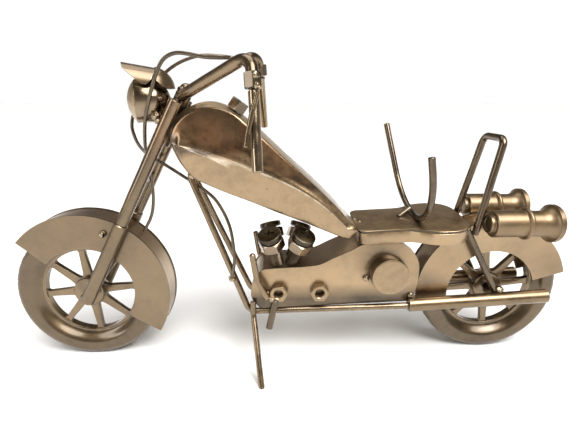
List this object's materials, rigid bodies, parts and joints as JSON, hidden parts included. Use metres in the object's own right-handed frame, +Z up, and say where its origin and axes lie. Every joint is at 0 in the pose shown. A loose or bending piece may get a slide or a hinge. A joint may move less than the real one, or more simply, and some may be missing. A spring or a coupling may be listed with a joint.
{
  "type": "metal chopper motorcycle bottle holder",
  "caption": "Welded steel model of a long-fork chopper in bronze lacquer, with spoked wheels that spin, a rod cradle and hoop on the seat for a bottle, and a side stand.",
  "frame": {"origin": "on the ground plane, midway between the axles, in the middle of the width", "axes": "+X towards the rear wheel, +Z up, so the bike faces -X and its stand is on -Y; the bars are as wide on +Y as on -Y"},
  "size_m": [0.3543, 0.119, 0.194],
  "materials": {
    "bronze_steel": "satin antique-bronze lacquer over steel",
    "tank_bronze": "satin bronze lacquer with a reddish tint",
    "tyre_steel": "satin bronze lacquer over steel",
    "wheel_steel": "satin bronze lacquer over steel",
    "wire_steel": "dark lacquered wire",
    "blackened_steel": "blackened screws",
    "bright_steel": "bright polished grips",
    "bare_steel": "bare steel under clear lacquer",
    "lens_steel": "satin lacquer over a domed disc"
  },
  "bodies": {
    "root": {"frame_rod_left": "bronze_steel", "frame_rod_right": "bronze_steel", "engine_case_left": "bronze_steel", "engine_case_right": "bronze_steel", "engine_case_band": "bronze_steel", "case_caps": "bronze_steel", "cylinder_screws": "blackened_steel", "cylinder_nuts": "bare_steel", "side_nuts": "bronze_steel", "lever_rod_left": "bronze_steel", "lever_rod_right": "bronze_steel", "foot_pegs": "bronze_steel", "kickstand": "bronze_steel", "tank_left": "tank_bronze", "tank_right": "tank_bronze", "tank_band": "tank_bronze", "fuel_cap": "tank_bronze", "seat_top": "bronze_steel", "seat_skirt": "bronze_steel", "bottle_cradle": "bronze_steel", "cradle_stub": "bronze_steel", "sissy_bar": "bronze_steel", "rear_strut_left": "bronze_steel", "rear_strut_right": "bronze_steel", "rear_fender_left": "bronze_steel", "rear_fender_right": "bronze_steel", "rear_fender_band": "bronze_steel", "muffler_left": "bronze_steel", "muffler_right": "bronze_steel", "canister_left": "bronze_steel", "canister_right": "bronze_steel", "rear_axle": "wheel_steel", "steering_neck": "bronze_steel", "fork_bridge": "bronze_steel", "stem_nut": "bronze_steel", "fork_upper_left": "bronze_steel", "fork_upper_right": "bronze_steel", "fork_lower_left": "bronze_steel", "fork_lower_right": "bronze_steel", "front_axle": "wheel_steel", "front_fender_left": "bronze_steel", "front_fender_right": "bronze_steel", "front_fender_band": "bronze_steel", "headlight_shell": "bronze_steel", "headlight_lens": "lens_steel", "headlight_visor": "bronze_steel", "handlebar_left": "bronze_steel", "handlebar_right": "bronze_steel", "bar_nuts": "bronze_steel", "grip_left": "bright_steel", "grip_right": "bright_steel", "brake_levers": "bronze_steel", "front_cable": "wire_steel", "frame_cable": "wire_steel", "weld_beads": "bare_steel"},
    "front_wheel_body": {"front_tyre": "tyre_steel", "front_wheel": "wheel_steel"},
    "rear_wheel_body": {"rear_tyre": "tyre_steel", "rear_wheel": "wheel_steel"}
  },
  "joints": [
    {"name": "front_wheel_spin", "type": "hinge", "parent": "root", "child": "front_wheel_body", "pos_m": [-0.1315, 0, 0.045], "axis": [0, 1, 0], "continuous": true},
    {"name": "rear_wheel_spin", "type": "hinge", "parent": "root", "child": "rear_wheel_body", "pos_m": [0.1315, 0, 0.045], "axis": [0, 1, 0], "continuous": true}
  ]
}
